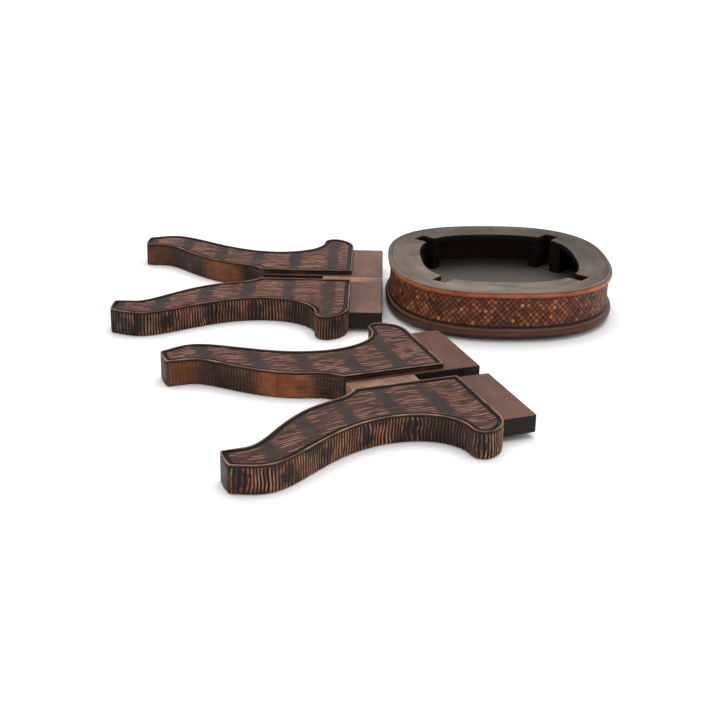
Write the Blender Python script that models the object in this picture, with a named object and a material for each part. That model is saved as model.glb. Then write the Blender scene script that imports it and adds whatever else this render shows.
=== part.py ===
"""Knock-down carved stool, taken apart and laid out flat.

Three loose pieces lie on one level surface. The top lies on its seat face, with
its hollow side up. Two leg frames lie on their sides. To put the stool together,
the frames cross by their halving slots and their tabs drop into the four
diagonal notches in the rim of the top.

Metres, +Z up. The origin is the centre of the seat face. Inside a leg frame,
x runs from the tab end to the feet and y runs across the frame.
"""

import math

import bmesh
import bpy
from mathutils import Vector

# Clearances
GAP = 0.0003                # left between pieces that are glued or pressed together
HALVING_CLEARANCE = 0.0015  # each side of a core board in the other frame's slot
CHANNEL_CLEARANCE = 0.0025  # each side of a leg in the other frame's sunken channel
SLOT_END_CLEARANCE = 0.001  # between the ends of the two crossed slots
NOTCH_CLEARANCE = 0.0007    # each side of a tab in its notch
NOTCH_END_CLEARANCE = 0.004  # past each end of a tab in its notches
TAB_END_CLEARANCE = 0.0047  # between a tab's end and the seat board when the shoulders rest on the rim

# Leg frames
FRAME_LENGTH = 0.4466       # tab end to the corners of the foot
LEG_THICKNESS = 0.042
TAB_THICKNESS = 0.026
TAB_LENGTH = 0.0553
TAB_CORNER = 0.003
FORK_DEPTH = 0.1593         # shoulder to the fork, where the two legs part
EDGE_CHAMFER = 0.0015

KNEE_PROUD = 0.0425         # how far the knee stands out past the tab
KNEE_CREST = 0.0377         # shoulder to the crest of the knee
KNEE_LENGTH = 0.0562        # shoulder to the back of the knee
KNEE_DROP = 0.022           # crest to the steepest place behind it
WAIST_REACH = 0.1295
WAIST_SETBACK = 0.1427      # shoulder to the waist
HEEL_REACH = 0.2155
HEEL_SETBACK = 0.0486       # foot end to the heel
FOOT_REACH = 0.2015
FOOT_WIDTH = 0.0445
FOOT_CROWN = 0.003          # how far the foot's end bulges between its corners
INSTEP_SETBACK = 0.030      # foot end to the start of the instep
INSTEP_TAPER = 0.0008
CROTCH_LENGTH = 0.0354      # fork to where the inner edge straightens
CROTCH_RISE = 0.025

DOWEL_RADIUS = 0.005
DOWEL_GRIP = 0.025          # length in each leg
DOWEL_INSET = 0.026         # from each end of a bridge to its nearest dowel

# Top, turned upside down
RIM_HALF_WIDTH = 0.1935     # middle of the top to the outside of the bead, square across
SEAT_OVERHANG = 0.0035      # of the seat board past the bead
SEAT_POWER = 2.4            # exponent of the rounded-square outline
SEAT_THICKNESS = 0.024
SEAT_ROUND = 0.024          # the seat's rounded-over edge: how far in it starts
SEAT_ROUND_HEIGHT = 0.014   # and how high the widest line stands
MOULDING_HEIGHT = 0.021
MOULDING_PROUD = 0.0045     # widest line past the neck above it
NECK_TAPER = 0.001
RIM_POWER = 2.58
RIM_THICKNESS = 0.010
RIM_WIDTH = 0.0568          # bead to opening, square across
RIM_LAND = 0.025            # wood left outside each notch
BEAD_WIDTH = 0.007
BEAD_PROUD = 0.0025
OPENING_POWER = 2.78
APRON_WALL = 0.0095
APRON_HOLLOW = 0.0022       # how far the waist of the band sinks
BAND_FLARE = 0.001          # how far its foot stands out
BAND_INSET = 0.0035         # the band's edge behind the bead
GUIDE_WIDTH = 0.020
GUIDE_LENGTH = 0.040
NOTCH_TURN = math.radians(3.0)
SEAM_TURN = math.radians(-3.0)

# How the three pieces lie
TOP_TURN = math.radians(2.5)
FRAME_A_TURN = math.radians(179.3)
FRAME_A_SPACE = 0.0055      # tab end to the edge of the seat
FRAME_A_OFFSET = 0.0128
FRAME_B_TURN = math.radians(-159.5)
FRAME_B_SPACE = 0.0245
FRAME_B_OFFSET = -0.0541

# Fineness
RING_STEPS = 80
QUARTER_STEPS = RING_STEPS // 4
DOWEL_SIDES = 16


def rounded_square(half_width, power, angle):
    """Point at an angle on the outline |x|^power + |y|^power = half_width^power."""
    c, s = math.cos(angle), math.sin(angle)
    radius = half_width / (abs(c) ** power + abs(s) ** power) ** (1.0 / power)
    return radius * c, radius * s


# Sizes that follow from the ones above
RIM_INNER = RIM_HALF_WIDTH - BEAD_WIDTH
NOTCH_REACH = math.hypot(*rounded_square(RIM_INNER, RIM_POWER, math.pi / 4 + NOTCH_TURN)) - RIM_LAND
TAB_WIDTH = 2 * (NOTCH_REACH - NOTCH_END_CLEARANCE)
KNEE_REACH = TAB_WIDTH / 2 + KNEE_PROUD
SEAT_HALF_WIDTH = RIM_HALF_WIDTH + SEAT_OVERHANG
OPENING_HALF_WIDTH = RIM_HALF_WIDTH - RIM_WIDTH
TOP_HEIGHT = SEAT_THICKNESS + TAB_LENGTH + TAB_END_CLEARANCE
CORE_LOW = (LEG_THICKNESS - TAB_THICKNESS) / 2
CORE_HIGH = CORE_LOW + TAB_THICKNESS
SLOT_HALF = TAB_THICKNESS / 2 + HALVING_CLEARANCE
CHANNEL_HALF = LEG_THICKNESS / 2 + CHANNEL_CLEARANCE
FORK = TAB_LENGTH + FORK_DEPTH
BRIDGE_A_END = (FORK - SLOT_END_CLEARANCE) / 2
BRIDGE_B_START = (FORK + SLOT_END_CLEARANCE) / 2
RIM_LOW = TOP_HEIGHT - RIM_THICKNESS
BAND_HALF_WIDTH = RIM_HALF_WIDTH - BAND_INSET
WALL_HALF_WIDTH = BAND_HALF_WIDTH - APRON_WALL
NOTCH_HALF = TAB_THICKNESS / 2 + NOTCH_CLEARANCE


# Objects and materials

def clear_scene():
    for obj in list(bpy.data.objects):
        bpy.data.objects.remove(obj, do_unlink=True)


def wood(name, colour, roughness):
    """A plain wood finish."""
    material = bpy.data.materials.new(name)
    material.use_nodes = True
    shader = material.node_tree.nodes["Principled BSDF"]
    shader.inputs["Base Color"].default_value = (*colour, 1.0)
    shader.inputs["Roughness"].default_value = roughness
    shader.inputs["Metallic"].default_value = 0.0
    return material


def add_empty(name, place, turn):
    empty = bpy.data.objects.new(name, None)
    empty.location = place
    empty.rotation_euler = (0.0, 0.0, turn)
    bpy.context.scene.collection.objects.link(empty)
    return empty


def skin(name, rings, parent, material=None, loop=False):
    """One closed body over rings of equal length, capped at both ends unless they loop."""
    mesh = bpy.data.meshes.new(name)
    body = bmesh.new()
    loops = [[body.verts.new(point) for point in ring] for ring in rings]
    count = len(loops[0])
    spans = list(zip(loops, loops[1:]))
    if loop:
        spans.append((loops[-1], loops[0]))
    for low, high in spans:
        for i in range(count):
            j = (i + 1) % count
            body.faces.new((low[i], low[j], high[j], high[i]))
    if not loop:
        body.faces.new(loops[0])
        body.faces.new(loops[-1])
    bmesh.ops.recalc_face_normals(body, faces=body.faces[:])
    body.to_mesh(mesh)
    body.free()
    obj = bpy.data.objects.new(name, mesh)
    bpy.context.scene.collection.objects.link(obj)
    obj.parent = parent
    if material:
        mesh.materials.append(material)
    return obj


def add_box(name, low, high, parent, material=None):
    corners = [(low[0], low[1]), (high[0], low[1]), (high[0], high[1]), (low[0], high[1])]
    rings = [[(x, y, z) for x, y in corners] for z in (low[2], high[2])]
    return skin(name, rings, parent, material)


def shade_smooth(obj, degrees):
    obj.data.shade_smooth()
    obj.data.set_sharp_from_angle(angle=math.radians(degrees))


def apply_boolean(target, tool, operation="DIFFERENCE"):
    """Cuts target with tool, which stays in the scene as a hidden wire shape."""
    modifier = target.modifiers.new(tool.name, "BOOLEAN")
    modifier.operation = operation
    modifier.solver = "EXACT"
    modifier.object = tool
    tool.hide_render = True
    tool.display_type = "WIRE"


# Outlines

def bezier(start, start_pull, end, end_pull, steps):
    """Points after start, up to end, on the cubic curve that leaves and arrives along the pulls."""
    start, end = Vector(start), Vector(end)
    first = start + Vector(start_pull)
    second = end - Vector(end_pull)
    points = []
    for i in range(1, steps + 1):
        t = i / steps
        s = 1.0 - t
        points.append(s ** 3 * start + 3 * s * s * t * first + 3 * s * t * t * second + t ** 3 * end)
    return [(point.x, point.y) for point in points]


def leg_outline():
    """The leg on the +y side, seen from above, from the tab end round the knee and foot to the slot."""
    tab_edge = TAB_WIDTH / 2
    shoulder = (TAB_LENGTH, tab_edge)
    crest = (TAB_LENGTH + KNEE_CREST, KNEE_REACH)
    knee_back = (TAB_LENGTH + KNEE_LENGTH, KNEE_REACH - KNEE_DROP)
    waist = (TAB_LENGTH + WAIST_SETBACK, WAIST_REACH)
    heel = (FRAME_LENGTH - HEEL_SETBACK, HEEL_REACH)
    foot_outer = (FRAME_LENGTH, FOOT_REACH)
    foot_inner = (FRAME_LENGTH, FOOT_REACH - FOOT_WIDTH)
    instep = (FRAME_LENGTH - INSTEP_SETBACK, foot_inner[1] - INSTEP_TAPER)
    crotch = (FORK + CROTCH_LENGTH, CHANNEL_HALF + CROTCH_RISE)

    points = [(0.0, SLOT_HALF), (0.0, tab_edge - TAB_CORNER)]
    points += bezier(points[-1], (0, TAB_CORNER * 0.55), (TAB_CORNER, tab_edge), (TAB_CORNER * 0.55, 0), 3)
    points.append(shoulder)
    rise = KNEE_REACH - tab_edge
    points += bezier(shoulder, (KNEE_CREST * 0.05, rise * 0.55), crest, (KNEE_CREST * 0.48, 0), 8)
    back = KNEE_LENGTH - KNEE_CREST
    points += bezier(crest, (back * 0.62, 0), knee_back, (0, -KNEE_DROP * 0.55), 6)
    run = waist[0] - knee_back[0]
    drop = knee_back[1] - waist[1]
    points += bezier(knee_back, (0, -drop * 0.55), waist, (run * 0.58, 0), 10)
    run = heel[0] - waist[0]
    points += bezier(waist, (run * 0.45, 0), heel, (run * 0.225, 0), 14)
    points += bezier(heel, (HEEL_SETBACK * 0.4, 0), foot_outer,
                     (HEEL_SETBACK * 0.38, -HEEL_SETBACK * 0.15), 5)
    crown = FOOT_CROWN * 4 / 3
    points += bezier(foot_outer, (crown, -FOOT_WIDTH / 3), foot_inner, (-crown, -FOOT_WIDTH / 3), 6)
    points.append(instep)
    run = instep[0] - crotch[0]
    points += bezier(instep, (-run * 0.24, 0), crotch, (-run * 0.585, -run * 0.13), 14)
    points += bezier(crotch, (-CROTCH_LENGTH * 0.4, -CROTCH_RISE * 0.17), (FORK, CHANNEL_HALF),
                     (-CROTCH_LENGTH * 0.18, -CROTCH_RISE * 0.3), 6)
    points.append((FORK, SLOT_HALF))
    return points


def inset(outline, distance):
    """The outline moved inwards, each corner along its mitre. The points run clockwise."""
    moved = []
    count = len(outline)
    for i, point in enumerate(outline):
        here = Vector(point)
        before = (here - Vector(outline[i - 1])).normalized()
        after = (Vector(outline[(i + 1) % count]) - here).normalized()
        inwards = Vector((before.y, -before.x)) + Vector((after.y, -after.x))
        inwards.normalize()
        reach = distance / max(0.3, inwards.dot(Vector((before.y, -before.x))))
        moved.append(tuple(here + inwards * reach))
    return moved


def ring_at(half_width, power, z):
    points = []
    for i in range(RING_STEPS):
        x, y = rounded_square(half_width, power, 2 * math.pi * i / RING_STEPS)
        points.append((x, y, z))
    return points


def quarter_angles(start, inner_half_width):
    """Angles over one quarter from start, stopping half a gap short at each end."""
    trim = GAP / 2 / inner_half_width
    angles = []
    for i in range(QUARTER_STEPS + 1):
        angles.append(start + math.pi / 2 * i / QUARTER_STEPS)
    angles[0] += trim
    angles[-1] -= trim
    return angles


# Leg frames

def round_bar(name, x, y_low, y_high, radius, parent, material=None):
    """A round bar along y at mid-thickness: a dowel, or the cutter for its hole."""
    rings = []
    for y in (y_low, y_high):
        ring = []
        for i in range(DOWEL_SIDES):
            angle = 2 * math.pi * i / DOWEL_SIDES
            ring.append((x + radius * math.cos(angle), y, LEG_THICKNESS / 2 + radius * math.sin(angle)))
        rings.append(ring)
    return skin(name, rings, parent, material)


def make_leg(name, side, frame, dowel_places, material):
    """One S-curved leg with its half of the tab. side is +1 or -1 in y."""
    outline = leg_outline()
    rings = []
    for level, amount in ((0.0, EDGE_CHAMFER), (EDGE_CHAMFER, 0.0),
                          (LEG_THICKNESS - EDGE_CHAMFER, 0.0), (LEG_THICKNESS, EDGE_CHAMFER)):
        rings.append([(x, side * y, level) for x, y in inset(outline, amount)])
    leg = skin(name, rings, frame, material)
    reach = KNEE_REACH + LEG_THICKNESS
    for place, low, high in (("under", -CORE_LOW, CORE_LOW),
                             ("over", CORE_HIGH, LEG_THICKNESS + CORE_LOW)):
        near, far = sorted((side * -CHANNEL_HALF, side * reach))
        tab_cut = add_box(f"cut_{name}_tab_{place}", (-0.01, near, low), (TAB_LENGTH, far, high), frame)
        near, far = sorted((side * -CHANNEL_HALF, side * CHANNEL_HALF))
        channel_cut = add_box(f"cut_{name}_channel_{place}", (-0.02, near, low), (FORK + 0.01, far, high), frame)
        apply_boolean(leg, tab_cut)
        apply_boolean(leg, channel_cut)
    for i, x in enumerate(dowel_places):
        low, high = sorted((0.0, side * (SLOT_HALF + DOWEL_GRIP + GAP)))
        hole = round_bar(f"cut_{name}_dowel_{i}", x, low, high, DOWEL_RADIUS + GAP, frame)
        apply_boolean(leg, hole)
    shade_smooth(leg, 25)
    return leg


def make_bridge(name, start, end, frame, dowel_places, material):
    """The core board between the two legs, which closes one half of the slot."""
    half = SLOT_HALF - GAP
    bridge = add_box(name, (start, -half, CORE_LOW), (end, half, CORE_HIGH), frame, material)
    for i, x in enumerate(dowel_places):
        hole = round_bar(f"cut_{name}_dowel_{i}", x, -2 * half, 2 * half, DOWEL_RADIUS + GAP, frame)
        apply_boolean(bridge, hole)
    return bridge


def make_leg_frame(letter, place, turn, bridge_start, bridge_end):
    """Two legs, the bridge between them and the dowels that hold it, on one empty."""
    frame = add_empty(f"leg_frame_{letter}", place, turn)
    legs = wood(f"carved_leg_wood_{letter}", (0.085, 0.034, 0.02), 0.5)
    core = wood(f"bridge_wood_{letter}", (0.2, 0.09, 0.05), 0.5)
    pins = wood(f"dowel_wood_{letter}", (0.32, 0.2, 0.11), 0.6)
    dowel_places = (bridge_start + DOWEL_INSET, bridge_end - DOWEL_INSET)
    for label, side in (("far", -1), ("near", 1)):
        make_leg(f"leg_{letter}_{label}", side, frame, dowel_places, legs)
    make_bridge(f"bridge_{letter}", bridge_start, bridge_end, frame, dowel_places, core)
    reach = SLOT_HALF + DOWEL_GRIP
    for i, x in enumerate(dowel_places):
        pin = round_bar(f"dowel_{letter}_{i + 1}", x, -reach, reach, DOWEL_RADIUS, frame, pins)
        shade_smooth(pin, 40)


# Top

def make_seat_board(top):
    """Rounded-square board. Its edge is rounded over from the seat face and returns to a neck under the band."""
    rings = []
    steps = 8
    for i in range(steps + 1):
        angle = math.pi / 2 * i / steps
        half_width = SEAT_HALF_WIDTH - SEAT_ROUND * (1 - math.sin(angle))
        rings.append(ring_at(half_width, SEAT_POWER, SEAT_ROUND_HEIGHT * (1 - math.cos(angle))))
    steps = 5
    for i in range(1, steps + 1):
        angle = math.pi / 2 * i / steps
        half_width = SEAT_HALF_WIDTH - MOULDING_PROUD * (1 - math.cos(angle))
        rise = (MOULDING_HEIGHT - SEAT_ROUND_HEIGHT) * math.sin(angle)
        rings.append(ring_at(half_width, SEAT_POWER, SEAT_ROUND_HEIGHT + rise))
    rings.append(ring_at(SEAT_HALF_WIDTH - MOULDING_PROUD - NECK_TAPER, SEAT_POWER, SEAT_THICKNESS))
    seat = skin("seat_board", rings, top, wood("seat_wood", (0.1, 0.042, 0.026), 0.45))
    shade_smooth(seat, 35)


def band_section(angle, levels):
    """Outline of the apron's wall at one angle, as points up the outside and down the inside."""
    low = SEAT_THICKNESS + GAP
    high = RIM_LOW - GAP
    points = []
    for i in range(levels + 1):
        k = i / levels
        half_width = BAND_HALF_WIDTH + (1 - k) * BAND_FLARE - APRON_HOLLOW * math.sin(math.pi * k)
        power = SEAT_POWER + (RIM_POWER - SEAT_POWER) * k
        x, y = rounded_square(half_width, power, angle)
        points.append((x, y, low + (high - low) * k))
    for z in (high, low):
        x, y = rounded_square(WALL_HALF_WIDTH, SEAT_POWER, angle)
        points.append((x, y, z))
    return points


def make_aprons(top):
    """Four curved walls between the seat board and the rim, butted at the corners."""
    finish = wood("woven_band_wood", (0.23, 0.07, 0.032), 0.5)
    for i in range(4):
        start = math.pi / 4 + NOTCH_TURN + math.pi / 2 * i
        rings = [band_section(angle, 6) for angle in quarter_angles(start, WALL_HALF_WIDTH)]
        apron = skin(f"apron_{i + 1}", rings, top, finish)
        shade_smooth(apron, 35)


def make_rim_segments(top):
    """Four flat pieces that make the rim, each with one notch for a tab."""
    finish = wood("rim_wood", (0.25, 0.2, 0.17), 0.65)
    outer = RIM_INNER - GAP
    for i in range(4):
        start = SEAM_TURN + math.pi / 2 * i
        rings = []
        for angle in quarter_angles(start, OPENING_HALF_WIDTH):
            inside = rounded_square(OPENING_HALF_WIDTH, OPENING_POWER, angle)
            outside = rounded_square(outer, RIM_POWER, angle)
            rings.append([(*outside, RIM_LOW), (*outside, TOP_HEIGHT),
                          (*inside, TOP_HEIGHT), (*inside, RIM_LOW)])
        segment = skin(f"rim_segment_{i + 1}", rings, top, finish)
        notch = add_box(f"cut_rim_notch_{i + 1}", (0.0, -NOTCH_HALF, RIM_LOW - 0.01),
                        (NOTCH_REACH, NOTCH_HALF, TOP_HEIGHT + 0.01), top)
        notch.rotation_euler = (0.0, 0.0, math.pi / 4 + NOTCH_TURN + math.pi / 2 * i)
        apply_boolean(segment, notch)


def make_rim_bead(top):
    """A bent lath round the rim, flat on top and rounded outside."""
    finish = wood("bead_wood", (0.42, 0.13, 0.055), 0.3)
    flat = RIM_HALF_WIDTH - BEAD_PROUD
    middle = TOP_HEIGHT - RIM_THICKNESS / 2
    steps = 6
    rings = []
    for i in range(RING_STEPS):
        angle = 2 * math.pi * i / RING_STEPS
        section = [(*rounded_square(RIM_INNER, RIM_POWER, angle), RIM_LOW)]
        for j in range(steps + 1):
            bend = math.pi * (j / steps - 0.5)
            half_width = flat + BEAD_PROUD * math.cos(bend)
            z = middle + RIM_THICKNESS / 2 * math.sin(bend)
            section.append((*rounded_square(half_width, RIM_POWER, angle), z))
        section.append((*rounded_square(RIM_INNER, RIM_POWER, angle), TOP_HEIGHT))
        rings.append(section)
    bead = skin("rim_bead", rings, top, finish, loop=True)
    shade_smooth(bead, 35)


def make_guide_blocks(top):
    """Two blocks beside each notch, between the seat board and the rim, that hold a tab upright."""
    finish = wood("guide_wood", (0.05, 0.028, 0.022), 0.7)
    wall = [ring_at(WALL_HALF_WIDTH - GAP, SEAT_POWER, z) for z in (0.0, TOP_HEIGHT)]
    for i in range(4):
        bearing = math.pi / 4 + NOTCH_TURN + math.pi / 2 * i
        corner = math.hypot(*rounded_square(WALL_HALF_WIDTH, SEAT_POWER, bearing))
        for j, side in enumerate((-1, 1)):
            near, far = sorted((side * NOTCH_HALF, side * (NOTCH_HALF + GUIDE_WIDTH)))
            block = add_box(f"guide_block_{2 * i + j + 1}",
                            (corner - GUIDE_LENGTH, near, SEAT_THICKNESS + GAP),
                            (corner + GUIDE_LENGTH, far, RIM_LOW - GAP), top, finish)
            block.rotation_euler = (0.0, 0.0, bearing)
            inside = skin(f"cut_guide_{2 * i + j + 1}", wall, top)
            apply_boolean(block, inside, "INTERSECT")


def make_top():
    top = add_empty("top", (0.0, 0.0, 0.0), TOP_TURN)
    make_seat_board(top)
    make_aprons(top)
    make_rim_segments(top)
    make_rim_bead(top)
    make_guide_blocks(top)


clear_scene()
make_top()
frame_a_place = (-(SEAT_HALF_WIDTH + FRAME_A_SPACE), FRAME_A_OFFSET, 0.0)
frame_b_place = (FRAME_B_OFFSET, -(SEAT_HALF_WIDTH + TAB_WIDTH / 2 + FRAME_B_SPACE), 0.0)
make_leg_frame("a", frame_a_place, FRAME_A_TURN, 0.0, BRIDGE_A_END)
make_leg_frame("b", frame_b_place, FRAME_B_TURN, BRIDGE_B_START, FORK)
bpy.context.view_layer.update()
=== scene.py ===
import math
import bmesh
import bpy
import numpy as np
from mathutils import Matrix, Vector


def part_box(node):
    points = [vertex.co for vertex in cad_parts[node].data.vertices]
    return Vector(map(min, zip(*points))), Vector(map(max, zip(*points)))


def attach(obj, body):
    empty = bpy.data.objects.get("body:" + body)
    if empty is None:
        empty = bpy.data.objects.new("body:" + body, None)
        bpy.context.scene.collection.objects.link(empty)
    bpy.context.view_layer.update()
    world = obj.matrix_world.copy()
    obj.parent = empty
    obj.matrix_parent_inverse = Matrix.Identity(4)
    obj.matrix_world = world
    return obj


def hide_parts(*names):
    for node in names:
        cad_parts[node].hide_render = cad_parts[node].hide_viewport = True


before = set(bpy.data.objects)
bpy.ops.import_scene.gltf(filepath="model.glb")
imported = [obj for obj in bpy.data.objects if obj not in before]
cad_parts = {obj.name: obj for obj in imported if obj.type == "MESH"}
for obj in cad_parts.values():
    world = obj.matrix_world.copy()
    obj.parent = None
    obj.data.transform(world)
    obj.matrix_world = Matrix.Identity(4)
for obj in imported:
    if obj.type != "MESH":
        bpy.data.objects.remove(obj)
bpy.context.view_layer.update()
mm = 0.001
print("frame: %d nodes" % len(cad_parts))


def softNoise(x, y, seed):
    # value noise: one random number at each whole-number crossing, blended between them by 3t^2 - 2t^3
    table = np.random.default_rng(seed).random((128, 128))
    x, y = np.broadcast_arrays(np.asarray(x, float), np.asarray(y, float))
    i = np.floor(x).astype(int)
    j = np.floor(y).astype(int)
    s = (x - i) ** 2 * (3 - 2 * (x - i))
    t = (y - j) ** 2 * (3 - 2 * (y - j))
    low = table[i % 128, j % 128] * (1 - s) + table[(i + 1) % 128, j % 128] * s
    high = table[i % 128, (j + 1) % 128] * (1 - s) + table[(i + 1) % 128, (j + 1) % 128] * s
    return low * (1 - t) + high * t


def patches(x, y, wide, high, seed):
    # soft noise whose patches are wide by high millimetres
    return softNoise(x / (wide * mm), y / (high * mm), seed)


def ease(x, start, end):
    # 0 before start, 1 past end, and 3t^2 - 2t^3 between them
    t = np.clip((x - start) / (end - start), 0, 1)
    return t * t * (3 - 2 * t)


def between(x, start, full, fading, end):
    # 0 outside start and end, 1 from full to fading, eased on both sides
    return ease(x, start, full) * (1 - ease(x, fading, end))


def gridQuads(rows, columns, closedRows=False, closedColumns=False):
    # one quad for each pair of neighbouring rows and columns; a closed direction joins its ends
    i = np.arange(rows if closedRows else rows - 1)[:, None]
    j = np.arange(columns if closedColumns else columns - 1)[None, :]
    nextI = (i + 1) % rows
    nextJ = (j + 1) % columns
    corners = np.broadcast_arrays(i * columns + j, nextI * columns + j,
                                  nextI * columns + nextJ, i * columns + nextJ)
    return np.stack(corners, axis=-1).reshape(-1, 4)


def placePiece(name, mesh, material, body, replaced):
    # the mesh as a finished object at the origin, riding on its body in place of the nodes it stands for
    piece = bpy.data.objects.new(name, mesh)
    bpy.context.scene.collection.objects.link(piece)
    mesh.materials.append(material)
    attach(piece, body)
    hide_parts(*replaced)
    return piece


def meshPiece(name, points, quads, caps, values, material, body, replaced, smoothBelow=40):
    # points, quads and cap outlines become one closed mesh, faces outwards, with one attribute per value
    mesh = bpy.data.meshes.new(name)
    mesh.from_pydata(points, [], quads.tolist() + [list(cap) for cap in caps])
    shell = bmesh.new()
    shell.from_mesh(mesh)
    bmesh.ops.recalc_face_normals(shell, faces=shell.faces[:])
    shell.to_mesh(mesh)
    shell.free()
    for key, value in values.items():
        isVector = value.ndim == 2
        layer = mesh.attributes.new(key, "FLOAT_VECTOR" if isVector else "FLOAT", "POINT")
        layer.data.foreach_set("vector" if isVector else "value", value.astype(np.float32).ravel())
    mesh.shade_smooth()
    mesh.set_sharp_from_angle(angle=math.radians(smoothBelow))
    return placePiece(name, mesh, material, body, replaced)


def nodePoints(name):
    # the places of a node's vertices, one row of x, y and z each
    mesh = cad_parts[name].data
    flat = np.empty(len(mesh.vertices) * 3, np.float32)
    mesh.vertices.foreach_get("co", flat)
    return flat.reshape(-1, 3).astype(float)


def easedCopy(name, nodeName, material, body, radius, steps=3):
    # a merged copy of a node with every edge sharper than 30 degrees rounded over by radius
    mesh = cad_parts[nodeName].data.copy()
    mesh.materials.clear()
    shell = bmesh.new()
    shell.from_mesh(mesh)
    bmesh.ops.remove_doubles(shell, verts=shell.verts[:], dist=1e-5)
    flat = math.radians(1.0)
    bmesh.ops.dissolve_limit(shell, angle_limit=flat, verts=shell.verts[:], edges=shell.edges[:])
    sharp = [edge for edge in shell.edges if edge.calc_face_angle(0.0) > math.radians(30)]
    bmesh.ops.bevel(shell, geom=sharp, offset=radius, offset_type="OFFSET", segments=steps,
                    profile=0.5, affect="EDGES", clamp_overlap=True)
    bmesh.ops.recalc_face_normals(shell, faces=shell.faces[:])
    shell.to_mesh(mesh)
    shell.free()
    mesh.shade_smooth()
    mesh.set_sharp_from_angle(angle=math.radians(35))
    mesh.name = name
    return placePiece(name, mesh, material, body, [nodeName])


def newFinish(name, look):
    # a material whose shader holds the look's even roughness and specular level
    finish = bpy.data.materials.new(name)
    finish.use_nodes = True
    shader = finish.node_tree.nodes["Principled BSDF"]
    shader.inputs["Specular IOR Level"].default_value = look["specular"]
    shader.inputs["Roughness"].default_value = look["roughness"]
    return finish, finish.node_tree, shader


def feed(tree, socket, value):
    # a socket takes a link from another socket, a colour as three numbers, or a number
    if isinstance(value, bpy.types.NodeSocket):
        tree.links.new(value, socket)
    elif isinstance(value, tuple):
        socket.default_value = (*value, 1.0)
    else:
        socket.default_value = value


def blend(tree, factor, first, second, way="MIX"):
    # a colour that is first where the factor is 0 and second, or first times second, where it is 1
    node = tree.nodes.new("ShaderNodeMix")
    node.data_type = "RGBA"
    node.blend_type = way
    node.clamp_result = False
    feed(tree, node.inputs[0], factor)
    feed(tree, node.inputs[6], first)
    feed(tree, node.inputs[7], second)
    return node.outputs[2]


def reckon(tree, way, first, second=0.0, clamp=False):
    # first and second added, multiplied or put through another operation, held between 0 and 1 when clamped
    node = tree.nodes.new("ShaderNodeMath")
    node.operation = way
    node.use_clamp = clamp
    feed(tree, node.inputs[0], first)
    feed(tree, node.inputs[1], second)
    return node.outputs[0]


def remap(tree, value, low, high, newLow, newHigh):
    # newLow at low, newHigh at high, a straight line between them, level outside
    node = tree.nodes.new("ShaderNodeMapRange")
    tree.links.new(value, node.inputs["Value"])
    for key, number in (("From Min", low), ("From Max", high), ("To Min", newLow), ("To Max", newHigh)):
        node.inputs[key].default_value = number
    return node.outputs[0]


def readValue(tree, name, output="Fac"):
    # a mesh attribute, as a number or as a place
    node = tree.nodes.new("ShaderNodeAttribute")
    node.attribute_name = name
    return node.outputs[output]


def objectAxes(tree):
    # x, y and z in the object's own metres
    split = tree.nodes.new("ShaderNodeSeparateXYZ")
    tree.links.new(tree.nodes.new("ShaderNodeTexCoord").outputs["Object"], split.inputs[0])
    return split.outputs


def mottle(tree, where, stretch, detail=5.0, roughness=0.6, warp=0.0):
    # noise read at the place times its stretch along each axis
    mapping = tree.nodes.new("ShaderNodeMapping")
    mapping.inputs["Scale"].default_value = stretch
    tree.links.new(where, mapping.inputs["Vector"])
    node = tree.nodes.new("ShaderNodeTexNoise")
    node.inputs["Scale"].default_value = 1.0
    node.inputs["Detail"].default_value = detail
    node.inputs["Roughness"].default_value = roughness
    node.inputs["Distortion"].default_value = warp
    tree.links.new(mapping.outputs[0], node.inputs["Vector"])
    return node.outputs["Fac"]


def ramp(tree, value, stops):
    # colours along a value, each stop a place and three numbers
    node = tree.nodes.new("ShaderNodeValToRGB")
    elements = node.color_ramp.elements
    while len(elements) < len(stops):
        elements.new(0.5)
    for element, (place, colour) in zip(elements, stops):
        element.position = place
        element.color = (*colour, 1.0)
    tree.links.new(value, node.inputs[0])
    return node.outputs[0]


def closeFinish(tree, shader, look, colour, gloss, less, more, grain):
    # the colour, a roughness from less below to more above the look's along gloss, and the grain as bump
    low, high = look["roughness"] - less, look["roughness"] + more
    tree.links.new(colour, shader.inputs["Base Color"])
    tree.links.new(remap(tree, gloss, 0.3, 0.7, low, high), shader.inputs["Roughness"])
    node = tree.nodes.new("ShaderNodeBump")
    node.inputs["Distance"].default_value = look["bump"]
    node.inputs["Strength"].default_value = 1.0
    tree.links.new(grain, node.inputs["Height"])
    tree.links.new(node.outputs[0], shader.inputs["Normal"])


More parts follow.
